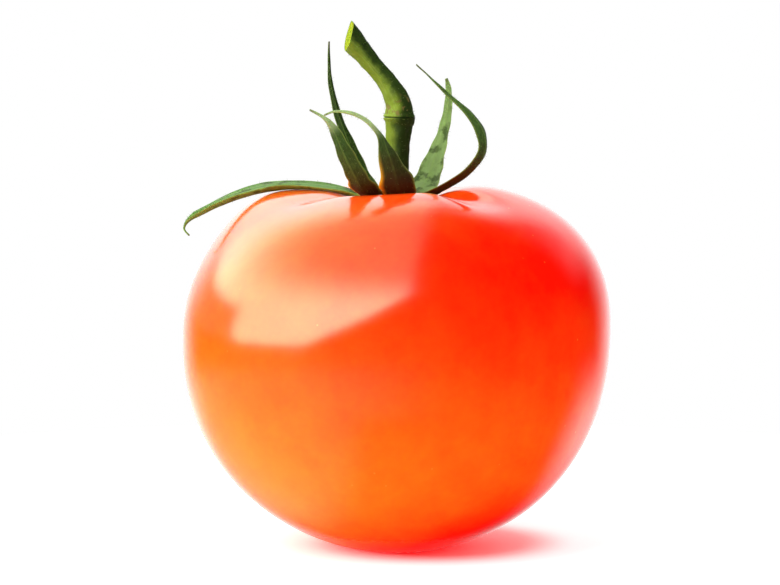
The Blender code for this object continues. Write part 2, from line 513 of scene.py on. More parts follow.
@dataclass(frozen=True)
class SepalFinish:
    """A leafy sepal: blotched green with veins, a midrib and paler margins, with painted shade, a
    painted red reflection and a painted glow as its tone sets.
    """

    light: Colour = (0.20, 0.37, 0.080)
    dark: Colour = (0.010, 0.028, 0.001)
    rib: Colour = (0.20, 0.32, 0.06)
    # Dark maroon for the painted shade and painted red reflection of the fruit at a blade's base.
    base: Colour = (0.028, 0.004, 0.001)
    # Orange of the painted glow: light from the fruit painted into a left margin.
    painted_glow_colour: Colour = (0.85, 0.50, 0.02)
    rim: Colour = (0.34, 0.42, 0.08)
    pale_green: Colour = (0.36, 0.47, 0.20)
    # Deeper green of the painted shade on an underside.
    painted_shade_green: Colour = (0.055, 0.17, 0.03)
    tip: Colour = (0.10, 0.09, 0.03)
    patch_scale: float = 480.0
    fleck_scale: float = 2400.0
    relief: float = 0.08 * MM

    def material(self, name: str, tone: Tone) -> bpy.types.Material:
        """Build the material of one sepal.

        Args:
            name: The material's name.
            tone: How the sepal is coloured.

        Returns:
            The material.
        """
        sheet = NodeSheet.of_material(name)
        place = sheet.place()
        along, across, side = sheet.axes(sheet.growth())
        patch = sheet.noise(place, self.patch_scale, 3.0)
        fine = sheet.noise(place, self.fleck_scale)
        inner = side.ease(-0.25, 0.25)
        # Painted shade: where a tone's inside or outside is low, that face is darkened to how lit
        # it is; on the front sepals the outside is almost black.
        lightness = inner * tone.inside + (1.0 - inner) * tone.outside
        lightness = lightness * (1.0 + (patch - 0.5) * 1.6 + (fine - 0.5) * 0.8)
        colour = sheet.mix(self.dark, self.light, lightness)
        # Painted shade: the underside is darkened towards a deeper green.
        colour = sheet.mix(colour, self.painted_shade_green, (1.0 - inner) * tone.underside_shade)
        colour = sheet.mix(colour, self.pale_green, tone.frost)
        blotches = patch.ease(0.47, 0.62) * along.ease(0.80, 0.45) * tone.blotches
        colour = sheet.mix(colour, self.dark, blotches)
        middle = abs(across).ease(0.16, 0.04)
        veins = abs(sheet.noise(sheet.vector(along * 9.0, across * 2.2, 0.0), 1.6) - 0.5)
        vein_mask = veins.ease(0.035, 0.0) * 0.30
        colour = sheet.mix(colour, self.rib, middle * 0.20 + vein_mask * 0.4)
        colour = sheet.mix(colour, self.pale_green, along.ease(tone.pale, tone.pale + 0.15) * 0.8)
        # Painted shade with a painted red reflection of the fruit: the base is darkened towards
        # maroon.
        red = (along + (patch - 0.5) * 0.2).ease(0.48, 0.12) * (1.0 - inner * 0.7) * tone.red
        colour = sheet.mix(colour, self.base, red)
        margin = abs(across).ease(0.84, 1.0)
        colour = sheet.mix(colour, self.rim, margin * 0.35)
        # Painted glow: orange light from the fruit painted into the left margin near the base.
        glow = across.ease(-0.66, -0.98) * along.ease(0.42, 0.12) * tone.glow
        colour = sheet.mix(colour, self.painted_glow_colour, glow)
        colour = sheet.mix(colour, self.tip, along.ease(0.88, 0.99) * tone.tip)
        return sheet.finish(
            Base_Color=colour,
            Roughness=0.50 + fine * 0.16,
            Normal=sheet.bump(fine * 0.5 + patch * 0.3 - vein_mask, self.relief),
            IOR=1.40,
            Specular_IOR_Level=0.30,
            Subsurface_Weight=0.5,
            Subsurface_Radius=(0.5, 1.0, 0.2),
            Subsurface_Scale=0.25 * MM,
        )


@dataclass(frozen=True)
class StalkFinish:
    """The stalk's skin, streaked along its growth and darkened down its right side with painted
    shade, and the pith of its cut end.
    """

    light: Colour = (0.16, 0.235, 0.014)
    dark: Colour = (0.006, 0.020, 0.001)
    streak: Colour = (0.25, 0.34, 0.06)
    bark: Colour = (0.14, 0.10, 0.03)
    pith: Colour = (0.25, 0.31, 0.001)
    core: Colour = (0.17, 0.25, 0.004)
    patch_scale: float = 700.0
    scuff_scale: float = 1100.0
    cell_scale: float = 3000.0
    relief: float = 0.10 * MM

    def material(self, name: str, knuckle: float) -> bpy.types.Material:
        """Build the material.

        Args:
            name: The material's name.
            knuckle: Where along the stalk its knuckle is, from 0 to 1.

        Returns:
            The material.
        """
        sheet = NodeSheet.of_material(name)
        place = sheet.place()
        along, right, front = sheet.axes(sheet.growth())
        patch = sheet.noise(place, self.patch_scale, 3.0)
        grain = sheet.noise(sheet.vector(along * 2.0, right, front), 5.0, 3.0)
        # Painted shade: the stalk is darker down its right side, and more below the knuckle, as
        # if lit from the upper left.
        low = along.ease(knuckle + 0.01, knuckle - 0.01)
        shade = (right - front * 0.25 + (patch - 0.5) * 1.1 + low * 0.35).ease(-0.25, 0.75)
        colour = sheet.mix(self.light, self.streak, grain.ease(0.50, 0.70) * 0.55)
        colour = sheet.mix(colour, self.dark, shade * 0.95)
        groove = abs(along - knuckle).ease(0.010, 0.003)
        # The groove at the knuckle is its dark joint; the collar darkens only its right side,
        # which is painted shade.
        painted_shade_collar = abs(along - knuckle).ease(0.035, 0.012) * right.ease(-0.6, 0.6)
        colour = sheet.mix(colour, self.dark, groove * 0.9 + painted_shade_collar * 0.5)
        above = along.ease(knuckle + 0.01, knuckle + 0.05)
        above = above * along.ease(knuckle + 0.24, knuckle + 0.12)
        scuffs = sheet.noise(place, self.scuff_scale, 3.0).ease(0.56, 0.64) * above
        colour = sheet.mix(colour, self.bark, scuffs * 0.8)
        cut = along.ease(1.4, 1.8)
        cells = sheet.noise(place, self.cell_scale)
        heart = along.ease(2.3, 2.8)
        flesh = sheet.mix(self.pith, self.core, heart * 0.6 + (cells - 0.5) * 0.5)
        colour = sheet.mix(colour, flesh, cut)
        return sheet.finish(
            Base_Color=colour,
            Roughness=0.50 + patch * 0.15 + cut * 0.25,
            Normal=sheet.bump(grain * 0.6 + patch * 0.4 + cells * cut, self.relief),
            IOR=1.42,
            Specular_IOR_Level=0.30,
            Subsurface_Weight=0.5,
            Subsurface_Radius=(0.5, 1.0, 0.2),
            Subsurface_Scale=0.4 * MM,
        )


@dataclass(frozen=True)
class DiscFinish:
    """The calyx disc: green, and paler outwards between the two distances of paling."""

    middle: Colour = (0.11, 0.19, 0.03)
    rim: Colour = (0.26, 0.38, 0.09)
    shade: Colour = (0.04, 0.07, 0.01)
    paling: Range = (2.5 * MM, 6.0 * MM)
    patch_scale: float = 900.0
    relief: float = 0.15 * MM

    def material(self) -> bpy.types.Material:
        """Build the material.

        Returns:
            The material.
        """
        sheet = NodeSheet.of_material("calyx_disc_green")
        place = sheet.place()
        x, y, _ = sheet.axes(place)
        patch = sheet.noise(place, self.patch_scale, 3.0)
        colour = sheet.mix(self.middle, self.rim, x.hypot(y).ease(*self.paling))
        colour = sheet.mix(colour, self.shade, patch.ease(0.5, 0.7) * 0.7)
        return sheet.finish(
            Base_Color=colour,
            Roughness=0.5 + patch * 0.2,
            Normal=sheet.bump(patch, self.relief),
            IOR=1.40,
            Specular_IOR_Level=0.30,
        )


@dataclass(frozen=True)
class HairFinish:
    """Short hairs, green at the root and paler at the tip."""

    root: Colour = (0.08, 0.14, 0.02)
    tip: Colour = (0.22, 0.29, 0.08)

    def material(self) -> bpy.types.Material:
        """Build the material.

        Returns:
            The material.
        """
        sheet = NodeSheet.of_material("calyx_hair")
        along, _, _ = sheet.axes(sheet.growth())
        tint = sheet.noise(sheet.place(), 800.0) - 0.5
        colour = sheet.mix(self.root, self.tip, along + tint * 0.5)
        return sheet.finish(Base_Color=colour, Roughness=0.4 + tint * 0.1, IOR=1.40)


# ---------------------------------------------------------------------------------------
# Meshes
# ---------------------------------------------------------------------------------------


def grown_sphere(around: int, along: int, surface: Surface) -> bmesh.types.BMesh:
    """Grow a closed form from a sphere.

    Args:
        around: Faces round the form.
        along: Faces from its lower pole to its upper one.
        surface: Gives the place of a point.

    Returns:
        The form. A layer holds each point's growth coordinates: its share of the way
        between the poles, and the cosine and sine of its angle round them.
    """
    shape = bmesh.new()
    layer = shape.verts.layers.float_vector.new("growth")
    bmesh.ops.create_uvsphere(shape, u_segments=around, v_segments=along, radius=1.0)
    for vert in shape.verts:
        share = math.asin(min(max(vert.co.z, -1.0), 1.0)) / math.pi + 0.5
        angle = math.atan2(vert.co.y, vert.co.x)
        vert.co = surface(share, angle)
        vert[layer] = Vector((share, math.cos(angle), math.sin(angle)))
    return shape


def hand_over(
    shape: bmesh.types.BMesh,
    name: str,
    material: bpy.types.Material,
    slot: Slot,
    node: str | None = None,
) -> None:
    """Make a bmesh a finished piece of the object.

    Args:
        shape: The mesh, in place.
        name: The piece's name.
        material: Its finish.
        slot: The record's slot that the finish belongs to; not used.
        node: The solid that the piece stands for, if any.
    """
    mesh = bpy.data.meshes.new(name)
    shape.to_mesh(mesh)
    shape.free()
    mesh.materials.append(material)
    mesh.shade_smooth()
    piece = bpy.data.objects.new(name, mesh)
    bpy.context.scene.collection.objects.link(piece)
    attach(piece, BODY)
    if node:
        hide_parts(node)
    LOG.info("%s: %d faces", name, len(mesh.polygons))


class Box:
    """The box of one solid."""

    def __init__(self, node: str) -> None:
        """Measure the solid."""
        self.low, self.high = (Vector(corner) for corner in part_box(node))
        self.size = self.high - self.low

    def place(self, shares: Sequence[float]) -> Vector:
        """The place that three shares give in the box."""
        return self.low + self.size * Vector(shares)


@dataclass
class Swelling:
    """A swelling of the shoulder, or a crease where its rise is negative.

    The azimuth and spread are in degrees, the rest in millimetres: the rise, and the
    distance from the axis and the reach at which it stands.
    """

    azimuth: float
    spread: float
    rise: float
    distance: float
    reach: float

    def height(self, radius: float, azimuth: float) -> float:
        """The height that it adds to the skin at a place, in metres."""
        turn = bell(turn_between(azimuth, self.azimuth), self.spread)
        return self.rise * MM * turn * bell(radius - self.distance * MM, self.reach * MM)


@dataclass
class Fruit:
    """The whole fruit, from the dimple to the scar in the middle of its flat spot."""

    node: str = "fruit"
    around: int = 288
    along: int = 176
    belly_share: float = 0.597
    upper_share: float = 0.4147
    lower_share: float = 0.6053
    front_to_back: float = 0.98
    upper_fullness: float = 2.4
    upper_flatness: float = 2.2
    lower_fullness: float = 2.0
    lower_flatness: float = 2.18
    lean: float = 0.06
    dimple_depth: float = 5.0 * MM
    dimple_radius: float = 8.0 * MM
    scar_depth: float = 0.25 * MM
    scar_radius: float = 1.3 * MM
    foot_softness: float = 0.12 * MM
    swellings: tuple[Swelling, ...] = (
        Swelling(150.0, 50.0, 3.8, 25.0, 9.0),
        Swelling(265.0, 40.0, 0.2, 17.0, 8.0),
        Swelling(65.0, 40.0, -1.0, 17.0, 8.0),
        Swelling(316.0, 15.0, -1.6, 15.0, 7.0),
        Swelling(205.0, 14.0, -0.6, 15.0, 7.0),
        Swelling(95.0, 14.0, -0.6, 15.0, 7.0),
    )
    radius: float = field(init=False)
    height: float = field(init=False)

    def __post_init__(self) -> None:
        """Take the fruit's size from its solid."""
        size = Box(self.node).size
        self.radius = size.x / 2.0
        self.height = size.z

    def shoulder(self, radius: float, azimuth: float) -> float:
        """Height of the upper half's skin before the fruit leans.

        Args:
            radius: Distance from the axis.
            azimuth: Direction from the axis, in degrees.

        Returns:
            The height above the ground.
        """
        fullness = max(1.0 - (radius / self.radius) ** self.upper_fullness, 0.0)
        height = self.belly_share + self.upper_share * fullness ** (1.0 / self.upper_flatness)
        height *= self.height
        height -= self.dimple_depth * bell(radius, self.dimple_radius)
        return height + sum(part.height(radius, azimuth) for part in self.swellings)

    def underside(self, radius: float) -> float:
        """Height of the lower half's skin, flattened where it rests and hollow at the scar.

        Args:
            radius: Distance from the axis.

        Returns:
            The height above the ground.
        """
        fullness = max(1.0 - (radius / self.radius) ** self.lower_fullness, 0.0)
        height = self.belly_share - self.lower_share * fullness ** (1.0 / self.lower_flatness)
        height *= self.height
        height = (height + math.hypot(height, self.foot_softness)) / 2.0
        return height + self.scar_depth * bell(radius, self.scar_radius)

    def skin(self, share: float, angle: float) -> Vector:
        """A point of the skin.

        Args:
            share: How far it is from the bottom to the top.
            angle: Its direction from the axis.

        Returns:
            The point.
        """
        radius = self.radius * math.sin(math.pi * share)
        upper = share > 0.5
        height = self.shoulder(radius, math.degrees(angle)) if upper else self.underside(radius)
        x = radius * math.cos(angle)
        height += self.lean * x * ease(height / self.height)
        return Vector((x, radius * math.sin(angle) * self.front_to_back, height))

    def over(self, x: float, y: float) -> float:
        """Height of the upper skin over a place on the ground.

        Args:
            x: How far the place is to the right of the axis.
            y: How far it is behind the axis.

        Returns:
            The height above the ground.
        """
        depth = y / self.front_to_back
        height = self.shoulder(math.hypot(x, depth), math.degrees(math.atan2(depth, x)))
        return height + self.lean * x * ease(height / self.height)

    def build(self) -> None:
        """Build the fruit and dress it."""
        shape = grown_sphere(self.around, self.along, self.skin)
        finish = SkinFinish(self.radius, self.height)
        hand_over(shape, "tomato_fruit", finish.material(), Slot.SKIN, self.node)


@dataclass
class Sepal:
    """One sepal: a blade round a midrib that narrows to a thread.

    Each row of the route is a place on the midrib in shares of the solid's box, and the
    width there in millimetres. Cupping, ruffle, blade and rib are in millimetres too, and
    rib_width is a share of half the blade's width.
    """

    node: str
    route: tuple[Row, ...]
    base_side: tuple[float, float, float]
    tip_side: tuple[float, float, float]
    cupping: float
    seed: int
    tone: Tone = Tone()
    ruffle: float = 0.10
    ruffles: float = 23.0
    ruffled_width: float = 3.0 * MM
    blade: float = 0.22
    rib: float = 0.26
    rib_width: float = 0.35
    rib_thinning: float = 0.6
    cupped_width: float = 5.0 * MM
    grain_size: float = 2.2 * MM
    grain: float = 0.06 * MM
    notch: float = 0.05
    notches: float = 41.0
    hairs: int = 150
    hairy: Range = (0.04, 0.80)
    around: int = 32
    along: int = 120
    probe: float = 0.01
    clearance: float = 0.12 * MM
    box: Box = field(init=False)

    def __post_init__(self) -> None:
        """Measure the sepal's solid."""
        self.box = Box(self.node)

    def midrib(self, share: float) -> tuple[Vector, float]:
        """The place on the midrib and the blade's width there, in metres."""
        x, y, z, width = between_rows(self.route, share)
        return self.box.place((x, y, z)), width * MM

    def surface(self, share: float, angle: float) -> Vector:
        """A point of the blade's surface.

        Args:
            share: How far it is from the base to the tip.
            angle: Its angle round the midrib: 0 and half a turn are the two margins.

        Returns:
            The point.
        """
        centre, width = self.midrib(share)
        ahead, _ = self.midrib(share + self.probe)
        behind, _ = self.midrib(share - self.probe)
        tangent = (ahead - behind).normalized()
        side = Vector(self.base_side).lerp(Vector(self.tip_side), share)
        side = (side - tangent * side.dot(tangent)).normalized()
        face = tangent.cross(side)
        across = math.cos(angle)
        rib = self.rib * bell(across, self.rib_width) * (1.0 - self.rib_thinning * share)
        thick = min((self.blade + rib) * MM, width / 2.0)
        cup = self.cupping * MM * (across * across - 0.5) * width / self.cupped_width
        wave = math.sin(share * self.ruffles + self.seed + across) * across * across
        ruffle = self.ruffle * MM * wave * min(width / self.ruffled_width, 1.0)
        grain = lump(centre + side * across * width, self.grain_size) * self.grain
        notch = self.notch * math.sin(share * self.notches + self.seed * 2.0) * abs(across)
        outward = side * across * width / 2.0 * (1.0 + notch)
        return centre + outward + face * (thick * math.sin(angle) + cup + ruffle + grain)

    def build(self, hair: bpy.types.Material, fruit: Fruit) -> None:
        """Build the sepal and its hairs.

        Args:
            hair: The hairs' finish.
            fruit: The fruit, which the sepal lies on where it comes down to it.
        """

        def lying(share: float, angle: float) -> Vector:
            """A point of the blade's surface, kept clear of the fruit.

            Args:
                share: How far it is from the base to the tip.
                angle: Its angle round the midrib.

            Returns:
                The point.
            """
            place = self.surface(share, angle)
            place.z = max(place.z, fruit.over(place.x, place.y) + self.clearance)
            return place

        shape = grown_sphere(self.around, self.along, lying)
        bmesh.ops.recalc_face_normals(shape, faces=shape.faces[:])
        finish = SepalFinish().material(f"{self.node}_green", self.tone)
        hand_over(shape, f"{self.node}_blade", finish, Slot.SEPAL, self.node)
        patch = HairPatch(self.surface, self.hairs, self.seed, self.hairy)
        hand_over(patch.shape(), f"{self.node}_hairs", hair, Slot.SEPAL)


@dataclass
class HairPatch:
    """Short hairs scattered over a grown surface, each a slim cone of three sides.

    Span is the part of the surface that has hairs, lean how far one may tilt, and middle
    where a hair's middle stands, as a share of its length from the surface.
    """

    surface: Surface
    count: int
    seed: int
    span: Range
    longest: float = 0.55 * MM
    shortest_share: float = 0.4
    lean: float = 0.5
    root_radius: float = 0.022 * MM
    tip_share: float = 0.2
    middle: float = 0.45
    step: float = 0.01

    def shape(self) -> bmesh.types.BMesh:
        """Build the hairs.

        Returns:
            All of them in one mesh.
        """
        draw = random.Random(self.seed)
        shape = bmesh.new()
        layer = shape.verts.layers.float_vector.new("growth")
        for _ in range(self.count):
            share = draw.uniform(*self.span)
            angle = draw.uniform(0.0, 2.0 * math.pi)
            root = self.surface(share, angle)
            forward = self.surface(share + self.step, angle) - root
            sideways = self.surface(share, angle + 10.0 * self.step) - root
            lean = Vector(draw.uniform(-self.lean, self.lean) for _ in range(3))
            outward = sideways.cross(forward).normalized() + lean
            length = self.longest * draw.uniform(self.shortest_share, 1.0)
            self.add_hair(shape, layer, root, outward.normalized() * length)
        return shape

    def add_hair(
        self, shape: bmesh.types.BMesh, layer: Any, root: Vector, reach: Vector
    ) -> None:
        """Add one hair, with its foot a little way into the surface.

        Args:
            shape: The mesh to add it to.
            layer: The layer of growth coordinates.
            root: Where it stands.
            reach: Its direction, as long as the hair.
        """
        made = bmesh.ops.create_cone(
            shape,
            cap_ends=True,
            segments=3,
            radius1=self.root_radius,
            radius2=self.root_radius * self.tip_share,
            depth=reach.length,
        )["verts"]
        turn = reach.to_track_quat("Z", "Y").to_matrix()
        for vert in made:
            vert[layer] = Vector((vert.co.z / reach.length + 0.5, 0.0, 0.0))
            vert.co = turn @ vert.co + root + reach * self.middle


@dataclass
class Stalk:
    """The fruit stalk with its knuckle and its slanting cut.

    Each row of the route is a place on the centre line in shares of the solid's box, and
    the radius there in millimetres. Each of the lumps is a width and a height. Each of the
    cut's steps is how far its ring shrinks, how far it rises in millimetres, and the growth
    coordinate that tells the pith from the skin.
    """

    node: str = "stalk"
    around: int = 64
    along: int = 260
    route: tuple[Row, ...] = (
        (0.746, 0.500, 0.000, 3.00),
        (0.738, 0.500, 0.065, 2.10),
        (0.738, 0.500, 0.164, 1.90),
        (0.746, 0.500, 0.284, 1.95),
        (0.763, 0.500, 0.400, 2.15),
        (0.772, 0.500, 0.438, 2.45),
        (0.772, 0.500, 0.462, 2.60),
        (0.772, 0.500, 0.486, 2.30),
        (0.763, 0.500, 0.530, 2.10),
        (0.712, 0.500, 0.585, 1.90),
        (0.600, 0.519, 0.657, 1.60),
        (0.454, 0.538, 0.729, 1.50),
        (0.291, 0.519, 0.807, 1.65),
        (0.154, 0.481, 0.869, 1.95),
        (-0.001, 0.444, 0.934, 2.30),
        (-0.207, 0.406, 1.016, 2.50),
    )
    cut_place: tuple[float, float, float] = (0.060, 0.470, 0.905)
    cut_normal: tuple[float, float, float] = (-0.95, -0.2, 0.25)
    knuckle: float = 0.395
    groove_depth: float = 0.28 * MM
    groove_reach: float = 0.006
    ridge: float = 0.035
    ridges: float = 5.0
    ridge_twist: float = 3.0
    lumps: tuple[Row, ...] = ((1.6 * MM, 0.10 * MM), (0.6 * MM, 0.04 * MM))
    cut_steps: tuple[Row, ...] = (
        (0.96, -0.03, 1.6),
        (0.88, 0.03, 2.0),
        (0.70, -0.06, 2.2),
        (0.40, 0.03, 2.8),
    )
    cut_tolerance: float = 1e-6
    pith_lump: float = 0.5 * MM
    pith_relief: float = 0.05
    probe: float = 0.004
    hairs: int = 420
    hairy: Range = (0.08, 0.86)
    seed: int = 5
    box: Box = field(init=False)

    def __post_init__(self) -> None:
        """Measure the stalk's solid."""
        self.box = Box(self.node)

    def centre_line(self, share: float) -> tuple[Vector, float]:
        """The place on the centre line and the radius there, in metres."""
        x, y, z, radius = between_rows(self.route, share)
        return self.box.place((x, y, z)), radius * MM

    def surface(self, share: float, angle: float) -> Vector:
        """A point of the stalk's skin.

        Args:
            share: How far it is along the stalk.
            angle: Its direction from the centre line; 0 is to the right.

        Returns:
            The point, which is on the centre line at the two poles.
        """
        centre, radius = self.centre_line(share)
        if share in (0.0, 1.0):
            return centre
        ahead, _ = self.centre_line(share + self.probe)
        behind, _ = self.centre_line(share - self.probe)
        tangent = (ahead - behind).normalized()
        back = Vector((0.0, 1.0, 0.0))
        back = (back - tangent * back.dot(tangent)).normalized()
        right = back.cross(tangent)
        outward = right * math.cos(angle) + back * math.sin(angle)
        radius *= 1.0 + self.ridge * math.cos(self.ridges * angle + self.ridge_twist * share)
        radius -= self.groove_depth * bell(share - self.knuckle, self.groove_reach)
        place = centre + outward * radius
        radius += sum(lump(place, size) * height for size, height in self.lumps)
        return centre + outward * radius

    def cut_end(self, shape: bmesh.types.BMesh) -> None:
        """Cut the stalk across and shape the face that the cut leaves.

        Args:
            shape: The stalk, grown on past the cut.
        """
        layer = shape.verts.layers.float_vector["growth"]
        normal = Vector(self.cut_normal).normalized()
        bmesh.ops.bisect_plane(
            shape,
            geom=shape.verts[:] + shape.edges[:] + shape.faces[:],
            plane_co=self.box.place(self.cut_place),
            plane_no=normal,
            dist=self.cut_tolerance,
            clear_outer=True,
        )
        rim = [edge for edge in shape.edges if edge.is_boundary]
        face = bmesh.ops.contextual_create(shape, geom=rim)["faces"]
        for spread, rise, growth in self.cut_steps:
            face = bmesh.ops.extrude_discrete_faces(shape, faces=face)["faces"]
            middle = face[0].calc_center_median()
            for vert in face[0].verts:
                relief = rise + lump(vert.co, self.pith_lump) * self.pith_relief
                vert.co = middle + (vert.co - middle) * spread + normal * relief * MM
                vert[layer] = Vector((growth, 0.0, 0.0))

    def build(self, hair: bpy.types.Material) -> None:
        """Build the stalk and its hairs.

        Args:
            hair: The hairs' finish.
        """
        shape = grown_sphere(self.around, self.along, self.surface)
        self.cut_end(shape)
        bmesh.ops.recalc_face_normals(shape, faces=shape.faces[:])
        finish = StalkFinish().material("stalk_green", self.knuckle)
        hand_over(shape, "fruit_stalk", finish, Slot.STALK, self.node)
        patch = HairPatch(self.surface, self.hairs, self.seed, self.hairy)
        hand_over(patch.shape(), "fruit_stalk_hairs", hair, Slot.STALK)


@dataclass
class CalyxDisc:
    """The receptacle in the dimple, spread out to the sepals' bases."""

    fruit: Fruit
    node: str = "calyx_disc"
    around: int = 96
    along: int = 48
    radius: float = 6.6 * MM
    lobes: int = 6
    lobe_depth: float = 0.7 * MM
    lobe_turn: float = 0.6
    ragged_turn: float = 0.4
    ragged_depth: float = 0.4 * MM
    clearance: float = 0.25 * MM
    thickness: float = 2.8 * MM
    swell_radius: float = 4.0 * MM
    edge: float = 0.5 * MM
    grain_size: float = 1.2 * MM
    grain: float = 0.08 * MM

    def surface(self, share: float, angle: float) -> Vector:
        """A point of the disc's surface.

        Args:
            share: How far it is from the bottom to the top.
            angle: Its direction from the axis.

        Returns:
            The point.
        """
        latitude = math.pi * (share - 0.5)
        outward = Vector((math.cos(angle), math.sin(angle), 0.0))
        reach = self.radius + self.lobe_depth * math.cos(self.lobes * angle + self.lobe_turn)
        reach += lump(outward, self.ragged_turn) * self.ragged_depth
        radius = reach * math.cos(latitude)
        x, y = radius * math.cos(angle), radius * math.sin(angle)
        swell = (self.thickness - self.edge) * bell(radius, self.swell_radius)
        height = self.fruit.over(x, y) + self.clearance
        height += (self.edge + swell) * max(math.sin(latitude), 0.0) ** 0.5
        place = Vector((x, y, height))
        place.z += lump(place, self.grain_size) * self.grain
        return place

    def build(self) -> None:
        """Build the disc and dress it."""
        shape = grown_sphere(self.around, self.along, self.surface)
        finish = DiscFinish().material()
        hand_over(shape, "calyx_disc_green", finish, Slot.CALYX, self.node)


# ---------------------------------------------------------------------------------------
# Studio
# ---------------------------------------------------------------------------------------


@dataclass(frozen=True)
class SoftBox:
    """A rectangular soft light that faces a point of the object."""

    name: str
    place: tuple[float, float, float]
    aim: tuple[float, float, float]
    size: tuple[float, float]
    radiance: float

    def build(self) -> None:
        """Hang the light."""
        lamp = bpy.data.lights.new(self.name, "AREA")
        lamp.shape = "RECTANGLE"
        lamp.size, lamp.size_y = self.size
        lamp.energy = self.radiance * math.pi * self.size[0] * self.size[1]
        item = bpy.data.objects.new(self.name, lamp)
        item.location = self.place
        direction = Vector(self.aim) - Vector(self.place)
        item.rotation_euler = direction.to_track_quat("-Z", "Y").to_euler()
        item.visible_glossy = False
        bpy.context.scene.collection.objects.link(item)


@dataclass(frozen=True)
class Patch:
    """A soft-edged patch of the surround, in the directions that its ranges give.

    Across points to the right, back away from the camera and up to the ceiling, each from
    -1 to 1. A range is where the patch starts and where it is full. Down is one more range
    of up, for a patch that ends at its top.
    """

    strength: float = 1.0
    across: Range | None = None
    back: Range | None = None
    up: Range | None = None
    down: Range | None = None

    def mask(self, across: Value, back: Value, up: Value) -> Value:
        """How strong the patch is in a direction.

        Args:
            across: How far the direction points to the right.
            back: How far it points to the back.
            up: How far it points up.

        Returns:
            The patch's strength inside it and 0 outside.
        """
        spans = ((across, self.across), (back, self.back), (up, self.up), (up, self.down))
        parts = [axis.ease(*span) for axis, span in spans if span]
        return math.prod(parts, start=self.strength)


@dataclass(frozen=True)
class Window:
    """The big window at the left and above, brightest low down and to the front.

    Its right edge slants: across equals slope times up less slope_start, up to the frame.
    A corner at the back is dark.
    """

    colour: Colour = (1.0, 1.0, 0.66)
    slope: float = 1.27
    slope_start: float = 0.74
    frame: float = 0.08
    softness: Range = (-0.05, 0.06)
    opening: Patch = Patch(back=(0.90, 0.50), up=(-0.06, 0.03))
    corner: Patch = Patch(0.95, back=(0.0, 0.22), down=(0.37, 0.23))
    top_glow: float = 2.0
    low_glow: float = 10.0
    low: Range = (0.92, 0.42)
    back_share: float = 0.70
    front_share: float = 0.55
    front: Range = (0.5, -0.7)

    def pane(self, across: Value, back: Value, up: Value) -> Value:
        """Where the window is.

        Args:
            across: How far the direction points to the right.
            back: How far it points to the back.
            up: How far it points up.

        Returns:
            1 inside the window and 0 outside.
        """
        edge = (up * self.slope - self.slope_start).at_most(self.frame)
        pane = (edge - across).ease(*self.softness) * self.opening.mask(across, back, up)
        return pane * (1.0 - self.corner.mask(across, back, up))

    def glow(self, back: Value, up: Value) -> Value:
        """How bright the window is in a direction, from how far it points back and up."""
        glow = self.top_glow + up.ease(*self.low) * (self.low_glow - self.top_glow)
        return glow * (self.back_share + back.ease(*self.front) * self.front_share)


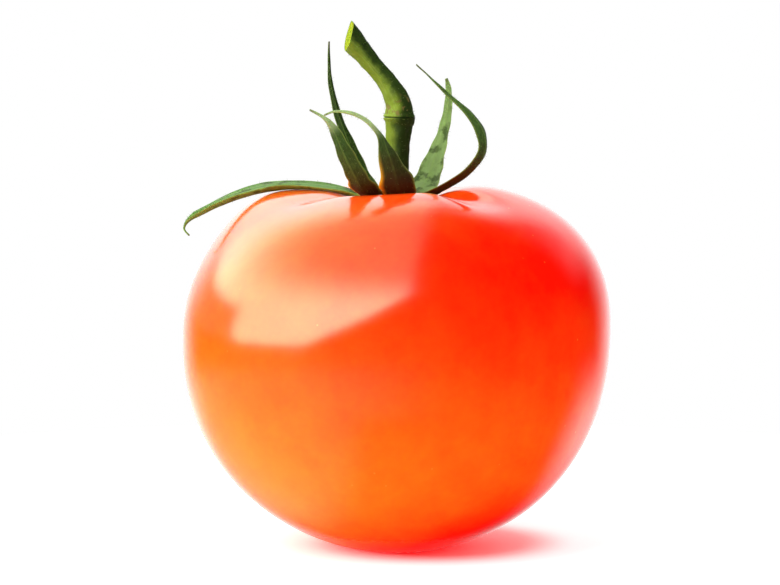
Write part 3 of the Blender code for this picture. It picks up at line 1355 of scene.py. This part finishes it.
@dataclass
class Studio:
    """A white room: pale floor with a painted glow, a soft light, a bright surround and the
    camera.

    The wall's patches are the back wall, a strip behind the left shoulder, a low and a high
    strip at the right, and a strip over the crown. Table is the floor that the skin
    mirrors, and foot the part of it that is red with the fruit's own light.
    """

    lens: float = 155.0
    camera_place: tuple[float, float, float] = (-0.0011, -0.55, 0.092)
    camera_aim: tuple[float, float, float] = (-0.0011, 0.0, 0.0423)
    floor_radius: float = 0.16
    floor_colour: Colour = (0.90, 0.90, 0.90)
    # Painted glow of the floor: red near the fruit, and pale light beyond the shadow's centre
    # that keeps the shadow short.
    painted_red_glow_colour: Colour = (0.42, 0.0, 0.0)
    painted_red_glow_radius: float = 0.050
    painted_fill_light_colour: Colour = (0.50, 0.50, 0.50)
    shadow_place: tuple[float, float] = (0.007, 0.006)
    shadow_fade: Range = (0.0135, 0.0235)
    surround: float = 0.84
    wall_glow: float = 1.3
    wall: tuple[Patch, ...] = (
        Patch(1.0, back=(0.62, 1.0), up=(-0.55, -0.12)),
        Patch(0.5, across=(0.08, -0.20), back=(0.5, 0.9), up=(0.0, 0.25)),
        Patch(1.7, across=(0.2, 0.85), back=(0.30, 0.85), up=(-0.78, -0.40), down=(-0.12, -0.38)),
        Patch(0.9, across=(0.2, 0.85), back=(0.30, 0.85), up=(0.18, 0.45)),
        Patch(0.65, across=(0.60, 0.25), back=(0.48, 0.75), up=(0.28, 0.55)),
    )
    window: Window = Window()
    table: Patch = Patch(0.6, across=(0.5, -0.6), down=(-0.12, -0.24))
    foot: Patch = Patch(across=(-0.45, -0.15), down=(-0.48, -0.64))
    foot_colour: Colour = (1.0, 0.12, 0.06)
    room_glow: float = 0.01
    key: SoftBox = SoftBox("key", (-0.45, -0.45, 0.77), (0.0, 0.0, 0.04), (0.66, 0.66), 7.2)

    def build_floor(self) -> None:
        """Lay the floor, which glows though it is no lamp: a painted red glow near the fruit, and
        painted pale light beyond its shadow that keeps the shadow short.
        """
        shape = bmesh.new()
        bmesh.ops.create_circle(shape, cap_ends=True, segments=96, radius=self.floor_radius)
        mesh = bpy.data.meshes.new("floor")
        shape.to_mesh(mesh)
        shape.free()
        sheet = NodeSheet.of_material("floor_white")
        place = sheet.place()
        tone = sheet.noise(place, 60.0) * 0.02
        x, y, _ = sheet.axes(place)
        # Painted red glow round the fruit, in place of red light bounced from it.
        near = x.hypot(y).ease(self.painted_red_glow_radius, self.painted_red_glow_radius * 0.3)
        painted_red_glow = sheet.mix(BLACK, self.painted_red_glow_colour, near)
        # Painted pale light, which lifts the floor from the shadow's centre outwards and keeps
        # the shadow short.
        shadow_x, shadow_y = self.shadow_place
        clear = (x - shadow_x).hypot(y - shadow_y).ease(*self.shadow_fade)
        glow = sheet.mix(painted_red_glow, self.painted_fill_light_colour, clear)
        mesh.materials.append(
            sheet.finish(
                Base_Color=self.floor_colour,
                Roughness=0.60 + tone,
                IOR=1.50,
                Specular_IOR_Level=0.0,
                Emission_Color=glow,
                Emission_Strength=1.0,
            )
        )
        floor = bpy.data.objects.new("floor", mesh)
        floor.visible_glossy = False
        bpy.context.scene.collection.objects.link(floor)

    def mirrored(self, sheet: NodeSheet) -> tuple[Value, Value]:
        """What the skin mirrors: a bright back wall, a big window at the left and above.

        Args:
            sheet: The world's sheet.

        Returns:
            The brightness and the colour in each direction.
        """
        direction = sheet.axes(sheet.node("ShaderNodeTexCoord", output="Generated"))
        _, back, up = direction
        wall = sum(patch.mask(*direction) for patch in self.wall)
        pane = self.window.pane(*direction)
        light = wall * self.wall_glow + pane * self.window.glow(back, up)
        light = light + self.table.mask(*direction) + self.room_glow
        tint = sheet.mix(WHITE, self.window.colour, pane)
        return light, sheet.mix(tint, self.foot_colour, self.foot.mask(*direction))

    def build_surround(self) -> None:
        """Light the room: white to look at, with what the skin mirrors around it."""
        world = bpy.data.worlds.new("white_room")
        sheet = NodeSheet(world)
        seen = sheet.node("ShaderNodeLightPath", output="Is Camera Ray")
        glossy = sheet.node("ShaderNodeLightPath", output="Is Glossy Ray")
        light, colour = self.mirrored(sheet)
        lit = glossy * light + (1.0 - glossy) * self.surround
        background = sheet.tree.nodes["Background"]
        sheet.feed(background.inputs["Color"], sheet.mix(WHITE, colour, glossy))
        sheet.feed(background.inputs["Strength"], seen + (1.0 - seen) * lit)
        world.cycles.sampling_method = "NONE"
        bpy.context.scene.world = world

    def build_camera(self) -> None:
        """Stand the camera."""
        data = bpy.data.cameras.new("camera")
        data.lens = self.lens
        data.clip_start, data.clip_end = 0.01, 20.0
        camera = bpy.data.objects.new("camera", data)
        camera.location = self.camera_place
        direction = Vector(self.camera_aim) - Vector(self.camera_place)
        camera.rotation_euler = direction.to_track_quat("-Z", "Y").to_euler()
        bpy.context.scene.collection.objects.link(camera)
        bpy.context.scene.camera = camera

    def build(self) -> None:
        """Set up the room."""
        self.build_floor()
        self.build_surround()
        self.key.build()
        self.build_camera()
        bpy.context.scene.view_settings.view_transform = "Standard"


# ---------------------------------------------------------------------------------------
# The object
# ---------------------------------------------------------------------------------------

SEPALS = (
    Sepal(
        node="sepal_left",
        route=(
            (1.02, 0.28, 0.66, 3.6),
            (0.88, 0.42, 0.80, 3.8),
            (0.71, 0.62, 0.86, 3.9),
            (0.51, 0.72, 0.87, 4.0),
            (0.35, 0.74, 0.76, 3.4),
            (0.18, 0.70, 0.56, 2.2),
            (0.05, 0.61, 0.34, 0.9),
            (0.01, 0.57, 0.16, 0.35),
            (0.04, 0.50, 0.03, 0.30),
        ),
        base_side=(0.15, 1.0, 0.06),
        tip_side=(0.1, 1.0, 0.42),
        cupping=-0.8,
        seed=11,
        # Painted shade: a deeper green darkens the underside, which faces the camera here.
        tone=Tone(inside=0.60, outside=0.45, blotches=0.9, underside_shade=0.4),
        blade=0.45,
    ),
    Sepal(
        node="sepal_front_left",
        route=(
            (0.96, 1.00, 0.00, 4.6),
            (0.75, 0.52, 0.15, 5.0),
            (0.65, 0.32, 0.29, 3.7),
            (0.50, 0.17, 0.52, 2.9),
            (0.36, 0.11, 0.76, 1.7),
            (0.22, 0.08, 0.90, 0.7),
            (0.01, 0.05, 0.99, 0.3),
        ),
        base_side=(1.0, -0.55, 0.0),
        tip_side=(1.0, -0.2, 0.4),
        cupping=0.5,
        seed=22,
        # Painted shade on the outside face and the base, a painted red reflection of the fruit at
        # the base, and a painted orange glow on the left margin.
        tone=Tone(inside=0.7, outside=0.12, red=0.85, glow=0.7, pale=0.62),
    ),
    Sepal(
        node="sepal_back_left",
        route=(
            (0.92, 0.02, -0.02, 4.4),
            (0.66, 0.40, 0.11, 4.4),
            (0.52, 0.58, 0.23, 3.4),
            (0.37, 0.70, 0.37, 2.2),
            (0.21, 0.82, 0.52, 1.4),
            (0.08, 0.92, 0.71, 0.9),
            (0.05, 0.95, 0.86, 0.5),
            (0.05, 0.95, 0.99, 0.3),
        ),
        base_side=(1.0, 0.7, 0.0),
        tip_side=(1.0, 0.3, 0.0),
        cupping=-0.4,
        seed=33,
        # Painted shade: this sepal stands against the light, so both its faces are almost black.
        tone=Tone(inside=0.02, outside=0.02, blotches=0.2),
    ),
    Sepal(
        node="sepal_front",
        route=(
            (0.86, 1.02, 0.00, 4.6),
            (0.82, 0.54, 0.14, 5.9),
            (0.77, 0.37, 0.31, 4.6),
            (0.69, 0.27, 0.54, 2.8),
            (0.62, 0.23, 0.71, 1.3),
            (0.49, 0.17, 0.86, 1.0),
            (0.32, 0.13, 0.95, 0.7),
            (0.14, 0.11, 0.97, 0.4),
            (0.01, 0.05, 0.93, 0.3),
        ),
        base_side=(1.0, 0.0, 0.0),
        tip_side=(0.0, 1.0, 0.3),
        cupping=0.5,
        seed=44,
        # Painted shade on the outside face and the base, a painted red reflection of the fruit at
        # the base, and a painted orange glow on the left margin.
        tone=Tone(inside=0.9, outside=0.09, red=0.85, glow=0.9, pale=0.46),
    ),
    Sepal(
        node="sepal_back_right",
        route=(
            (0.10, 0.02, 0.00, 5.4),
            (0.38, 0.35, 0.14, 5.0),
            (0.57, 0.60, 0.32, 3.4),
            (0.75, 0.79, 0.51, 2.2),
            (0.86, 0.91, 0.69, 1.6),
            (0.89, 0.93, 0.87, 1.1),
            (0.83, 0.91, 0.98, 0.5),
        ),
        base_side=(1.0, -0.6, 0.0),
        tip_side=(1.0, -0.3, 0.0),
        cupping=-0.5,
        seed=55,
        tone=Tone(inside=0.8, outside=0.6, blotches=0.9, frost=0.30),
    ),
    Sepal(
        node="sepal_right",
        route=(
            (0.05, 0.98, -0.02, 5.4),
            (0.46, 0.60, 0.09, 4.6),
            (0.76, 0.33, 0.20, 3.4),
            (0.94, 0.21, 0.34, 2.9),
            (0.92, 0.16, 0.49, 2.4),
            (0.74, 0.17, 0.63, 1.7),
            (0.49, 0.22, 0.75, 0.9),
            (0.23, 0.32, 0.88, 0.32),
            (0.01, 0.43, 0.99, 0.25),
        ),
        base_side=(0.55, 1.0, 0.0),
        tip_side=(0.7, 0.6, 0.3),
        cupping=0.4,
        seed=66,
        # Painted shade on the outside face and the base, with a painted red reflection of the
        # fruit there.
        tone=Tone(inside=0.55, outside=0.16, red=0.7),
    ),
)


def main() -> None:
    """Build the tomato and the room that it is shown in."""
    logging.basicConfig(level=logging.INFO, format="%(name)s: %(message)s")
    fruit = Fruit()
    fruit.build()
    CalyxDisc(fruit).build()
    hair = HairFinish().material()
    Stalk().build(hair)
    for sepal in SEPALS:
        sepal.build(hair, fruit)
    Studio().build()


if __name__ == "__main__":
    main()
